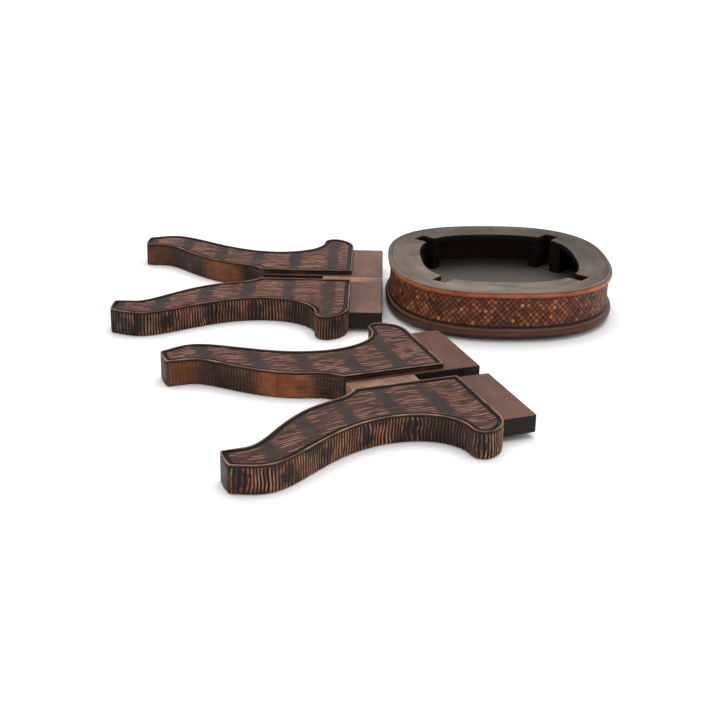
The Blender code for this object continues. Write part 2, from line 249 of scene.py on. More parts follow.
def carvedFinish(name, look):
    # valley, body and crest colours along the relief, the valley colour painted shade and the crest colour a
    # painted highlight; scorch marks with painted shade, and wear with painted highlight, over them; fine
    # grain along the leg
    finish, tree, shader = newFinish(name, look)
    place = readValue(tree, "along", "Vector")
    grain = mottle(tree, place, look["grain"], 6.0, 0.65, 0.4)
    cloud = mottle(tree, place, look["cloud"], 4.0, 0.6, 0.3)
    relief = reckon(tree, "ADD", readValue(tree, "relief"), remap(tree, grain, 0.3, 0.7, -0.2, 0.2))
    # the valley colour is painted shade in the hollows of the relief, the crest colour a painted highlight on
    # its crests
    colour = ramp(tree, relief, [(0.0, look["valley"]), (0.45, look["body"]), (0.95, look["crest"])])
    colour = blend(tree, remap(tree, cloud, 0.35, 0.65, 0.0, 0.75), colour, look["stain"], "MULTIPLY")
    if "warm" in look:
        streaks = remap(tree, grain, 0.3, 0.7, 0.4, 0.95)
        warmth = reckon(tree, "MULTIPLY", readValue(tree, "warm"), streaks, True)
        colour = blend(tree, warmth, colour, look["warm"])
    # scorch marks, and painted shade in the grooves and quirks, darken the colour
    streaks = remap(tree, grain, 0.2, 0.8, 1.15, 0.8)
    darkening = reckon(tree, "MULTIPLY", readValue(tree, "scorchAndShade"), streaks, True)
    colour = blend(tree, darkening, colour, look["scorchedAndShaded"])
    # wear and painted highlight over the colour
    if "wearAndHighlight" in look:
        uneven = remap(tree, cloud, 0.3, 0.6, 0.55, 1.0)
        rubAndHighlight = reckon(tree, "MULTIPLY", readValue(tree, "wearAndHighlight"), uneven, True)
        colour = blend(tree, rubAndHighlight, colour, look["wearAndHighlight"])
    closeFinish(tree, shader, look, colour, cloud, 0.08, 0.1, grain)
    return finish


def plainFinish(name, look):
    # two board colours clouded together and dark pores along the grain; a look with an edge colour reads how
    # much each place is handled from the mesh, and one without it reads the object's own metres
    finish, tree, shader = newFinish(name, look)
    if "edge" in look:
        place = readValue(tree, "along", "Vector")
    else:
        place = tree.nodes.new("ShaderNodeTexCoord").outputs["Object"]
    grain = mottle(tree, place, look["grain"], 7.0, 0.68, 0.6)
    cloud = mottle(tree, place, look["cloud"], 4.0, 0.55, 0.4)
    colour = blend(tree, remap(tree, cloud, 0.34, 0.66, 0.0, 1.0), look["dark"], look["light"])
    pores = ramp(tree, grain, [(0.3, look["pore"]), (0.52, (1.0, 1.0, 1.0)), (0.75, look["fleck"])])
    colour = blend(tree, 1.0, colour, pores, "MULTIPLY")
    if "edge" in look:
        colour = blend(tree, readValue(tree, "edge"), colour, look["edge"])
    closeFinish(tree, shader, look, colour, cloud, 0.07, 0.08, grain)
    return finish


legShape = dict(
    # metres, inside a frame: u from the tab end to the feet, v across
    tabLength=0.0553, tabCorner=0.003,
    forkDepth=0.1593, channelHalf=0.0235, slotHalf=0.0145,
    kneeProud=0.0425, kneeCrest=0.0377, kneeLength=0.0562, kneeDrop=0.022,
    waistReach=0.1295, waistSetback=0.1427,
    heelReach=0.2155, heelSetback=0.0486,
    footReach=0.2015, footWidth=0.0445, instepSetback=0.030, instepTaper=0.0008, footCrown=0.003,
    crotchLength=0.0354, crotchRise=0.025,
)
carving = dict(
    step=0.85 * mm,                             # between points along the outline
    ribPitch=5.3 * mm, ribDepth=1.5 * mm,       # upright reeding on the edges
    innerWall=10.8 * mm,                        # how far in the edge piece reaches
    fieldInset=7.2 * mm, fieldDepth=2.0 * mm, grooveDepth=5.6 * mm,
    fieldBase=12 * mm,                          # from the flat side of a leg down to the back of a panel
    strokePitch=6.0 * mm, strokeDepth=1.1 * mm,
    scorchHalf=11 * mm,                         # half the width of a scorched band
    knotWide=16 * mm, knotHigh=20 * mm,         # half sizes of a scorched knot on the reeded side
    knotBack=17 * mm, knotPush=5.5 * mm,        # how far a knot sits before its band, and moves the reeding
)
bands = dict(a=(0.092, 0.0695), b=(0.120, 0.0665))      # the first band's place and the step to the next
stretches = dict(                               # along u: start, full, fading, end
    kneeDarkening=(0.100, 0.118, 0.150, 0.166), calfGlow=(0.245, 0.27, 0.31, 0.34),
    footGlow=(0.38, 0.42), toeScorch=(0.385, 0.40),
)


def curve(start, startPull, end, endPull, steps):
    # the cubic that leaves start along its pull and reaches end along its pull, without its first point
    start, startPull, end, endPull = map(np.array, (start, startPull, end, endPull))
    t = np.linspace(0, 1, steps + 1)[1:, None]
    s = 1 - t
    fromStart = s ** 3 * start + 3 * s * s * t * (start + startPull)
    return fromStart + 3 * s * t * t * (end - endPull) + t ** 3 * end


def legOutline(length, tabEdge):
    # the carved part of the +v leg, clockwise, as cubic runs: shoulder, knee, waist, heel, foot, instep,
    # crotch and channel; the third column is how deep the reeding is there
    g = legShape
    tab = g["tabLength"]
    crest = (tab + g["kneeCrest"], tabEdge + g["kneeProud"])
    back = (tab + g["kneeLength"], crest[1] - g["kneeDrop"])
    waist = (tab + g["waistSetback"], g["waistReach"])
    heel = (length - g["heelSetback"], g["heelReach"])
    footOuter = (length, g["footReach"])
    footInner = (length, g["footReach"] - g["footWidth"])
    instep = (length - g["instepSetback"], footInner[1] - g["instepTaper"])
    fork = (tab + g["forkDepth"], g["channelHalf"])
    crotch = (fork[0] + g["crotchLength"], fork[1] + g["crotchRise"])
    knee, rise = g["kneeCrest"], g["kneeProud"]
    behind = g["kneeLength"] - g["kneeCrest"]
    sweep, drop = waist[0] - back[0], back[1] - waist[1]
    shank = heel[0] - waist[0]
    calf = instep[0] - crotch[0]
    setback = g["heelSetback"]
    crown = g["footCrown"] * 4 / 3
    lean = -g["footWidth"] / 9
    runs = [
        (np.array([(tab, g["channelHalf"]), (tab, tabEdge)]), 0.0),
        (curve((tab, tabEdge), (knee * 0.05, rise * 0.55), crest, (knee * 0.48, 0), 24), 1.0),
        (curve(crest, (behind * 0.62, 0), back, (0, -g["kneeDrop"] * 0.55), 18), 1.0),
        (curve(back, (0, -drop * 0.55), waist, (sweep * 0.58, 0), 30), 1.0),
        (curve(waist, (shank * 0.45, 0), heel, (shank * 0.225, 0), 42), 1.0),
        (curve(heel, (setback * 0.4, 0), footOuter, (setback * 0.38, -setback * 0.15), 15), 0.9),
        (curve(footOuter, (crown, lean), footInner, (-crown, lean), 16), 0.35),
        (np.array([instep]), 0.14),
        (curve(instep, (-calf * 0.24, 0), crotch, (-calf * 0.585, -calf * 0.13), 42), 0.14),
        (curve(crotch, (-g["crotchLength"] * 0.4, -g["crotchRise"] * 0.17), fork,
               (-g["crotchLength"] * 0.18, -g["crotchRise"] * 0.3), 18), 0.1),
    ]
    return np.vstack([np.column_stack([points, np.full(len(points), depth)]) for points, depth in runs])


def mitres(outline):
    # at each corner, the move that takes both its edges one unit inwards; the outline is clockwise
    before = outline - np.roll(outline, 1, axis=0)
    after = np.roll(outline, -1, axis=0) - outline
    before = before / np.linalg.norm(before, axis=1, keepdims=True)
    after = after / np.linalg.norm(after, axis=1, keepdims=True)
    inBefore = np.column_stack([before[:, 1], -before[:, 0]])
    inward = inBefore + np.column_stack([after[:, 1], -after[:, 0]])
    inward /= np.linalg.norm(inward, axis=1, keepdims=True)
    return inward / np.maximum(0.3, (inward * inBefore).sum(axis=1))[:, None]


def evenly(outline, columns, step, softening):
    # columns read at even distances round the closed outline, then averaged with their neighbours
    closed = np.vstack([outline, outline[:1]])
    run = np.r_[0, np.cumsum(np.linalg.norm(np.diff(closed, axis=0), axis=1))]
    count = int(round(run[-1] / step))
    at = np.linspace(0, run[-1], count, endpoint=False)
    weights = np.r_[1:softening + 2, softening:0:-1].astype(float)
    weights /= weights.sum()
    table = np.column_stack([np.interp(at, run, np.r_[column, column[:1]]) for column in columns.T])
    eased = sum(weight * np.roll(table, shift - softening, axis=0) for shift, weight in enumerate(weights))
    return eased, at


def edgeDistance(points, outline):
    # the shortest distance from each point to the closed outline
    nearest = np.full(len(points), 1e9)
    for start, end in zip(outline, np.roll(outline, -1, axis=0)):
        along = end - start
        t = np.clip(((points - start) @ along) / (along @ along), 0, 1)
        gap = points - start - t[:, None] * along
        nearest = np.minimum(nearest, (gap * gap).sum(axis=1))
    return np.sqrt(nearest)


def scorchAt(u, v, letter, seed):
    # 1 within a band's half width of the nearest band centre, with a wandering soft edge and uneven strength
    first, pitch = bands[letter]
    offset = (u - first) / pitch
    distance = np.abs(offset - np.round(offset)) * pitch
    distance = distance + 7 * mm * (softNoise(u / (13 * mm), v / (11 * mm) + 31, seed) - 0.5)
    band = 1 - ease(distance, carving["scorchHalf"] - 4 * mm, carving["scorchHalf"] + 3 * mm)
    return band * (0.55 + 0.5 * softNoise(u / (19 * mm) + 9, v / (19 * mm) + 50, seed + 1))


def knotsAt(u, s, level, letter, thickness, seed):
    # 1 inside an ellipse set before each band and 0 outside it, with a ragged rim; the second value is how
    # far a knot pushes the reeding along, its aside times exp(-away^2)
    first, pitch = bands[letter]
    first = first - carving["knotBack"]
    band = np.round((u - first) / pitch)
    centre = first + band * pitch + 6 * mm * (softNoise(band * 3.7, 0.5, seed + 20) - 0.5)
    aside = (u - centre) / carving["knotWide"]
    middle = thickness * (0.42 + 0.16 * softNoise(band * 2.3, 4.5, seed + 21))
    away = np.sqrt(aside ** 2 + ((level - middle) / carving["knotHigh"]) ** 2)
    ragged = 0.7 * (patches(s, level, 6, 7, seed + 2) - 0.5)
    knot = (1 - ease(away + ragged, 0.4, 1.05)) * (0.8 + 0.2 * softNoise(band * 5.1, 8.5, seed + 24))
    return knot, carving["knotPush"] * aside * np.exp(-away ** 2)


def lieOf(letter):
    # where a frame lies: u runs from its first dowel to its second, and starts where its legs do
    boxes = [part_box("dowel_%s_%d" % (letter, i)) for i in (1, 2)]
    first, second = [(np.array(low) + np.array(high)) / 2 for low, high in boxes]
    along = (second - first) / np.linalg.norm(second - first)
    legs = np.vstack([nodePoints("leg_%s_%s" % (letter, side)) for side in ("far", "near")])
    start = first + along * ((legs @ along).min() - first @ along)
    start[2] = 0.0
    across = np.array([-along[1], along[0], 0.0])
    reach = np.abs((legs - start) @ across)[(legs - start) @ along < 0.8 * legShape["tabLength"]].max()
    length = ((legs - start) @ along).max() - legShape["footCrown"]
    return dict(start=start, along=along, across=across, tabEdge=reach, length=length)


def placed(lie, u, v, z):
    # the frame's start plus u along it, v across it and z up
    up = np.array([0, 0, 1.0])
    return lie["start"] + u[:, None] * lie["along"] + v[:, None] * lie["across"] + z[:, None] * up


def framePiece(name, node, lie, letter, quads, caps, values, finish, smoothBelow):
    # a piece of a leg frame, its place worked out from the along attribute
    u, v, z = values["along"].T
    body = "leg_frame_" + letter
    meshPiece(name, placed(lie, u, v, z), quads, caps, values, finish, body, [node], smoothBelow)


def edgeSection(thickness):
    # rows round the moulding: inset, depth from the near face, share of the reeding, wear and painted
    # highlight, painted shade; the wall runs straight up between the rolls, and the last rows fall into the
    # groove
    wall = np.linspace(2.6 * mm, thickness - 5.0 * mm, 15)
    # the last number of each row is how much painted shade darkens it: in the grooves, in the quirks beside
    # the rolls and under the lower roll
    below = [
        (9.6, 4.1, 0, 0, 0.9), (6.4, 4.1, 0, 0, 1), (5.4, 3.2, 0, 0, 1), (4.9, 1.7, 0, 0, 0.7),
        (4.1, 0.7, 0, 0.2, 0.5), (3.0, 0.15, 0, 0.3, 0.4), (1.9, 0.25, 0.2, 0.3, 0.4),
        (1.0, 0.8, 0.5, 0.1, 0.5),
        (0.4, 1.6, 0.8, 0, 0.4)]                # inset and depth in millimetres
    above = [
        (0.3, 4.4, 0.8, 0, 0.2), (0.9, 3.9, 0.35, 0, 0.8), (0.9, 3.3, 0.1, 0, 0.75), (0.45, 2.6, 0, 0, 0.7),
        (0.35, 1.8, 0, 0.05, 0.45), (0.7, 0.9, 0, 0.45, 0.1), (1.2, 0.35, 0, 1, 0), (2.0, 0.1, 0, 1, 0),
        (2.8, 0.35, 0, 0.6, 0), (3.5, 1.1, 0, 0.15, 0.4), (4.0, 2.2, 0, 0, 0.85), (4.6, 3.6, 0, 0, 1),
        (6.4, 4.3, 0, 0, 1), (8.4, 4.1, 0, 0, 1)]
    inner = carving["innerWall"]
    lower = [(inset * mm, depth * mm, share, wearAndHighlight, paintedShade) for inset, depth, share, wearAndHighlight, paintedShade in below]
    upper = [(inset * mm, thickness - depth * mm, share, wearAndHighlight, paintedShade)
             for inset, depth, share, wearAndHighlight, paintedShade in above]
    return np.array([(inner, 4.1 * mm, 0, 0, 0.9)] + lower + [(0, z, 1, 0, 0) for z in wall]
                    + upper + [(inner, thickness - 4.1 * mm, 0, 0, 0.9)])


def carvedEdge(name, node, lie, letter, side, seed, finish, thickness):
    # the section carried round the outline; reeding is |sin(pi run / pitch)|, its lines bent round
    # scorched knots
    outline = legOutline(lie["length"], lie["tabEdge"])
    inward = mitres(outline[:, :2])
    table, run = evenly(outline[:, :2], np.column_stack([outline, inward]), carving["step"], 2)
    place, ribbing, inward = table[:, :2], table[None, :, 2], table[:, 3:]
    section = edgeSection(thickness)
    inset, level, share, wearAndHighlight, scorchedAndShaded = section.T[:, :, None]
    s = run[None, :]
    u, v = place[None, :, 0] + 0 * inset, place[None, :, 1] + 0 * inset
    outside = ribbing > 0.5
    onWall = share > 0.4
    knot, push = knotsAt(u, s, level, letter, thickness, seed)
    wobble = 0.55 * patches(s, level, 19, 55, seed) + 0.5 * patches(s, level, 31, 15, seed + 1)
    wobble = wobble + 0.22 * patches(s, level, 7, 9, seed + 22)
    phase = (s - push * outside) / carving["ribPitch"] + wobble
    rib = np.abs(np.sin(np.pi * phase)) ** (0.9 + 1.8 * patches(s, level, 12, 26, seed + 23))
    # darker behind the knee on the reeded side
    behindKnee = between(u, *stretches["kneeDarkening"]) * outside
    blotch = 0.75 * ease(patches(s, level, 27, 19, seed + 4), 0.5, 0.85)
    darkening = np.maximum(np.maximum(knot * (0.35 + 0.65 * outside), 0.8 * behindKnee), blotch)
    toe = ease(u, *stretches["toeScorch"]) * ease(patches(s, level, 6, 30, seed + 25), 0.1, 0.5)
    darkening = np.maximum(darkening, 0.95 * (letter == "a") * outside * toe)
    footEnd = ease(u, lie["length"] - 2 * mm, lie["length"] + 0.3 * mm)
    darkening = np.maximum(darkening, footEnd * (0.45 + 0.55 * patches(s, level, 4, 4, seed + 26)))
    depth = carving["ribDepth"] * (0.5 + 0.7 * softNoise(s / (13 * mm), level / (22 * mm) + 7, seed + 5))
    depth = depth * ribbing * share * (1 - 0.5 * darkening)
    chips = 0.3 * mm * patches(s, level, 7, 7, seed + 6) * (share > 0)
    inset = inset + depth * (1 - rib) + chips
    u = u + inset * inward[None, :, 0]
    v = v + inset * inward[None, :, 1]
    z = level + 0 * u
    plain = 0.42 + 0.5 * (patches(s, level, 30, 60, seed + 7) - 0.5)
    # relief picks the valley colour, painted shade, in the reeding's valleys and the crest colour, painted
    # highlight, on its crests
    relief = np.where(onWall, rib * ribbing + plain * (1 - ribbing), 0.3)
    inner = (ribbing < 0.5) * onWall * (1 - footEnd)
    glow = between(u, *stretches["calfGlow"]) + 0.45 * ease(u, *stretches["footGlow"])
    warm = inner * glow * (0.6 + 0.5 * patches(s, level, 8, 9, seed + 8))
    streak = ease(patches(s, level, 17, 40, seed + 11), 0.35, 0.8)
    # warm orange on the rib crests: the wood's colour and a painted highlight
    warm = warm + outside * onWall * 0.85 * rib ** 1.5 * streak
    wallScorch = darkening * np.where(inner > 0, 0.5, 1.0)
    # on the wall, scorch marks; off it, the section's painted shade with fainter scorch
    scorchAndShade = np.where(onWall, wallScorch, np.maximum(scorchedAndShaded, 0.3 * darkening * (wearAndHighlight < 0.5)))
    # wear and painted highlight along the top of the upper roll, and painted highlight in patches on the rib
    # crests
    rubAndHighlight = wearAndHighlight * (0.2 + 0.8 * patches(s, level, 16, 200, seed + 9) ** 1.2)
    crestHighlightPatches = ease(patches(s, level, 6, 11, seed + 10), 0.35, 0.8)
    rubAndHighlight = rubAndHighlight + onWall * ribbing * ease(rib, 0.8, 1.0) * crestHighlightPatches * (1 - 0.9 * darkening)
    tones = dict(relief=relief, scorchAndShade=scorchAndShade, wearAndHighlight=np.clip(rubAndHighlight, 0, 1), warm=np.clip(warm, 0, 1))
    values = {key: np.broadcast_to(value, u.shape).ravel() for key, value in tones.items()}
    values["along"] = np.column_stack([u.ravel(), side * v.ravel(), z.ravel()])
    framePiece(name, node, lie, letter, gridQuads(len(section), len(run), True, True), [], values, finish, 60)


def carvedField(name, node, lie, letter, side, face, seed, finish, thickness, columns, rows):
    # a sunk panel: crests 1 - |sin(pi stroke)| along the leg, falling into the groove at its border
    outline = legOutline(lie["length"], lie["tabEdge"])[:, :2]
    inset = carving["fieldInset"]
    edge = outline + mitres(outline) * inset
    foot = legShape["footReach"]
    footOuter, footInner = [int(np.argmin(np.hypot(outline[:, 0] - lie["length"], outline[:, 1] - reach)))
                            for reach in (foot, foot - legShape["footWidth"])]
    outer = edge[1:footOuter + 1]
    inner = edge[footInner:][::-1]
    low = legShape["tabLength"] + inset
    high = lie["length"] - inset
    t = np.linspace(0, 1, columns)
    t = t - 0.11 * np.sin(2 * np.pi * t) / (2 * np.pi) - 0.5 * t * (1 - t) ** 7
    u = (low + (high - low) * t)[:, None]
    innerU, innerV = np.r_[low, inner[:, 0]], np.r_[edge[0, 1], inner[:, 1]]
    top = np.interp(u[:, 0], np.maximum.accumulate(outer[:, 0]), outer[:, 1])[:, None]
    bottom = np.interp(u[:, 0], np.maximum.accumulate(innerU), innerV)[:, None]
    w = np.linspace(0, 1, rows)[None, :]
    v = bottom + (top - bottom) * w
    u = u + legShape["footCrown"] * (1 - (2 * w - 1) ** 2) * t[:, None] ** 8
    distance = edgeDistance(np.column_stack([u.ravel(), v.ravel()]), outline).reshape(u.shape)
    lean = 0.35 * (top + bottom - top[0] - bottom[0]) / 2
    drift = patches(u, v, 36, 24, seed) + 0.4 * patches(u, v, 15, 9, seed + 1)
    stroke = (v - lean) / carving["strokePitch"] + drift
    crest = 1 - np.abs(np.sin(np.pi * stroke)) ** 0.9
    darkening = scorchAt(u, v, letter, seed + 3)
    length = softNoise(u / (17 * mm), np.floor(stroke + 0.5) * 7.31, seed + 2)
    crest = crest * (0.2 + 0.8 * ease(length, 0.2, 0.7))
    height = crest * (1 - 0.5 * np.clip(darkening, 0, 1)) + 0.25 * patches(u, v, 7, 2.4, seed + 4)
    lift = ease(distance, inset + 0.8 * mm, inset + 3.2 * mm)
    border = 1 - ease(distance, inset, inset + 2.4 * mm)
    depth = carving["fieldDepth"] + (carving["grooveDepth"] - carving["fieldDepth"]) * border
    z = thickness - depth + carving["strokeDepth"] * height * lift
    # painted shade in the groove round the panel's border
    soot = 1 - ease(distance, inset + 0.8 * mm, inset + 4.5 * mm)
    pad = np.ones((columns, 2))
    u = np.hstack([u, u[:, -1:], u[:, :1]])
    v = np.hstack([v, v[:, -1:], v[:, :1]])
    z = np.hstack([z, pad * (thickness - carving["fieldBase"])])
    # the crest colour on the stroke crests is a painted highlight, the valley colour between them painted
    # shade
    relief = np.hstack([0.1 + 0.95 * height * lift, pad * 0.2])
    scorchAndShade = np.hstack([np.maximum(darkening, soot), pad])
    if face < 0:
        z = thickness - z
    ring = rows + 2
    caps = [np.arange(ring), (columns - 1) * ring + np.arange(ring)]
    values = dict(along=np.column_stack([u.ravel(), side * v.ravel(), z.ravel()]),
                  relief=relief.ravel(), scorchAndShade=scorchAndShade.ravel())
    framePiece(name, node, lie, letter, gridQuads(columns, ring, False, True), caps, values, finish, 60)


def tabCore(name, node, lie, letter, side, finish, low, high):
    # the thin core: half the tab and the ledge beside the slot, flat faces between quarter-round edges
    g = legShape
    tab, slot, edge, corner = g["tabLength"], g["slotHalf"], lie["tabEdge"], g["tabCorner"]
    fork = tab + g["forkDepth"]
    bury = 2 * mm                               # how far the core runs on inside the carved part
    radius = 1.1 * mm
    pull = corner * 0.55
    outline = np.vstack([
        [(0, slot), (0, edge - corner)],
        curve((0, edge - corner), (0, pull), (corner, edge), (pull, 0), 6),
        [(tab + bury, edge), (tab + bury, g["channelHalf"] + bury)],
        [(fork, g["channelHalf"] + bury), (fork, slot)]])
    inward = mitres(outline)
    table, run = evenly(outline, np.column_stack([outline, inward]), 1.5 * mm, 1)
    place, inward = table[:, :2], table[:, 2:]
    bend = np.linspace(0, math.pi / 2, 4)
    quarter = np.column_stack([radius * (1 - np.cos(bend)), radius * (1 - np.sin(bend)), 1 + 0 * bend])
    upper = np.vstack([quarter, [(2.2 * mm, 0.0, 0.55), (3.6 * mm, 0.0, 0.2)]])
    lower = upper[::-1] * 1.0
    lower[:, 1] = low + lower[:, 1]
    upper[:, 1] = high - upper[:, 1]
    section = np.vstack([lower, upper])
    inset, level, rim = section.T[:, :, None]
    u = place[None, :, 0] + inset * inward[None, :, 0]
    v = place[None, :, 1] + inset * inward[None, :, 1]
    z = level + 0 * u
    ledge = ease(u, tab - 4 * mm, tab + 6 * mm) * 0.75
    wall = (np.abs(inset) < 0.9 * radius) * 1.0
    handled = rim * 0.6 * (0.5 + patches(u, v, 12, 12, 77))
    handled = np.clip(np.maximum(handled, np.maximum(ledge, wall)), 0, 1)
    count = len(run)
    caps = [np.arange(count), (len(section) - 1) * count + np.arange(count)]
    values = dict(along=np.column_stack([u.ravel(), side * v.ravel(), z.ravel()]), edge=handled.ravel())
    framePiece(name, node, lie, letter, gridQuads(len(section), count, False, True), caps, values, finish, 50)


edgeLook = dict(roughness=0.42, specular=0.14, grain=(40.0, 40.0, 700.0), cloud=(38.0, 38.0, 38.0),
                bump=0.25 * mm)
fieldLook = dict(roughness=0.4, specular=0.08, grain=(60.0, 600.0, 60.0), cloud=(38.0, 38.0, 38.0),
                 bump=0.3 * mm)
tabLook = dict(pore=(0.62, 0.55, 0.52), fleck=(1.2, 1.15, 1.1), grain=(25.0, 500.0, 500.0),
               roughness=0.4, specular=0.12, bump=0.1 * mm)
# valley colours are painted shade and crest colours painted highlight; the scorched colour serves scorch
# marks and painted shade, and the edge's worn colour is wear and painted highlight
legLooks = dict(
    a=dict(
        edge=dict(edgeLook, valley=(0.007, 0.004, 0.003), body=(0.028, 0.012, 0.007),
                  crest=(0.19, 0.085, 0.045),
                  stain=(0.6, 0.5, 0.48), scorchedAndShaded=(0.010, 0.008, 0.008), wearAndHighlight=(0.42, 0.22, 0.135),
                  warm=(0.25, 0.075, 0.025)),
        field=dict(fieldLook, valley=(0.016, 0.008, 0.006), body=(0.098, 0.043, 0.029),
                   crest=(0.35, 0.172, 0.120),
                   stain=(0.75, 0.62, 0.58), scorchedAndShaded=(0.024, 0.017, 0.016)),
        tab=dict(tabLook, dark=(0.10, 0.044, 0.028), light=(0.235, 0.112, 0.072), edge=(0.020, 0.014, 0.013),
                 cloud=(28.0, 7.0, 28.0))),
    b=dict(
        edge=dict(edgeLook, valley=(0.008, 0.004, 0.003), body=(0.038, 0.015, 0.008),
                  crest=(0.24, 0.125, 0.075),
                  stain=(0.62, 0.5, 0.46), scorchedAndShaded=(0.011, 0.008, 0.008), wearAndHighlight=(0.50, 0.28, 0.185),
                  warm=(0.36, 0.105, 0.032)),
        field=dict(fieldLook, valley=(0.016, 0.007, 0.005), body=(0.078, 0.034, 0.024),
                   crest=(0.34, 0.175, 0.13),
                   stain=(0.75, 0.60, 0.56), scorchedAndShaded=(0.028, 0.020, 0.019)),
        tab=dict(tabLook, dark=(0.10, 0.045, 0.032), light=(0.165, 0.076, 0.052), edge=(0.017, 0.012, 0.012),
                 cloud=(22.0, 8.0, 22.0))),
)
bridgeLook = dict(dark=(0.17, 0.085, 0.052), light=(0.29, 0.15, 0.095), pore=(0.55, 0.5, 0.45),
                  fleck=(1.2, 1.15, 1.1), grain=(120.0, 120.0, 120.0), cloud=(30.0, 30.0, 30.0),
                  roughness=0.45, specular=0.25, bump=0.1 * mm)
dowelLook = dict(dark=(0.26, 0.15, 0.085), light=(0.38, 0.24, 0.14), pore=(0.6, 0.55, 0.5),
                 fleck=(1.2, 1.2, 1.15), grain=(200.0, 200.0, 200.0), cloud=(60.0, 60.0, 60.0),
                 roughness=0.6, specular=0.5, bump=0.1 * mm)
# name, which way it faces, seed step, columns and rows
fieldFaces = (("upper", 1, 20, 230, 220), ("under", -1, 40, 150, 130))

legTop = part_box("leg_b_near")[1].z
coreLow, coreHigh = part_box("bridge_b")[0].z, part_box("bridge_b")[1].z
bridgeFinish = plainFinish("bridgeWood", bridgeLook)
dowelFinish = plainFinish("dowelWood", dowelLook)
for letter in ("a", "b"):
    lie = lieOf(letter)
    edgeFinish = carvedFinish("reededEdge_" + letter, legLooks[letter]["edge"])
    fieldFinish = carvedFinish("combedField_" + letter, legLooks[letter]["field"])
    tabFinish = plainFinish("tabWood_" + letter, legLooks[letter]["tab"])
    for label, side, seed in (("far", -1, 11), ("near", 1, 47)):
        node = "leg_%s_%s" % (letter, label)
        ending = "_%s_%s" % (letter, label)
        seed += 200 * (letter == "b")
        carvedEdge("edge" + ending, node, lie, letter, side, seed, edgeFinish, legTop)
        for word, face, later, columns, rows in fieldFaces:
            panel = "field%s_%s" % (ending, word)
            carvedField(panel, node, lie, letter, side, face, seed + later, fieldFinish,
                        legTop, columns, rows)
        tabCore("core" + ending, node, lie, letter, side, tabFinish, coreLow, coreHigh)
    body = "leg_frame_" + letter
    easedCopy("bridgeStrip_" + letter, "bridge_" + letter, bridgeFinish, body, 0.9 * mm)
    for i in (1, 2):
        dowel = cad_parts["dowel_%s_%d" % (letter, i)]
        dowel.data.materials.clear()
        dowel.data.materials.append(dowelFinish)
    print("leg frame", letter)


topShape = dict(
    turn=math.radians(2.5), seatHalf=0.1969, seatPower=2.4, seatThick=0.024, seatRound=0.024, seatRise=0.014,
    mouldHigh=0.021, mouldProud=0.0045, neckTaper=0.001, quirk=0.4 * mm, quirkHigh=18.2 * mm,
    rimHalf=0.1935, rimPower=2.58, rimThick=0.010, beadWidth=0.007, beadProud=0.0025,
    bandHalf=0.190, bandWall=0.0095, bandHollow=0.0022, gap=0.0003,
    notchTurn=math.radians(3.0),
)
weave = dict(cellWide=10.2 * mm, cellHigh=10.6 * mm, pillow=1.2 * mm, border=2.2 * mm, columns=600, rows=84)
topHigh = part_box("rim_segment_1")[1].z


def roundedSquare(halfWidth, power, angle):
    # |x|^power + |y|^power = halfWidth^power, read at an angle, then turned with the top
    c, s = np.cos(angle), np.sin(angle)
    radius = halfWidth / (np.abs(c) ** power + np.abs(s) ** power) ** (1 / power)
    turn = topShape["turn"]
    across, up = math.cos(turn), math.sin(turn)
    return radius * (c * across - s * up), radius * (s * across + c * up)


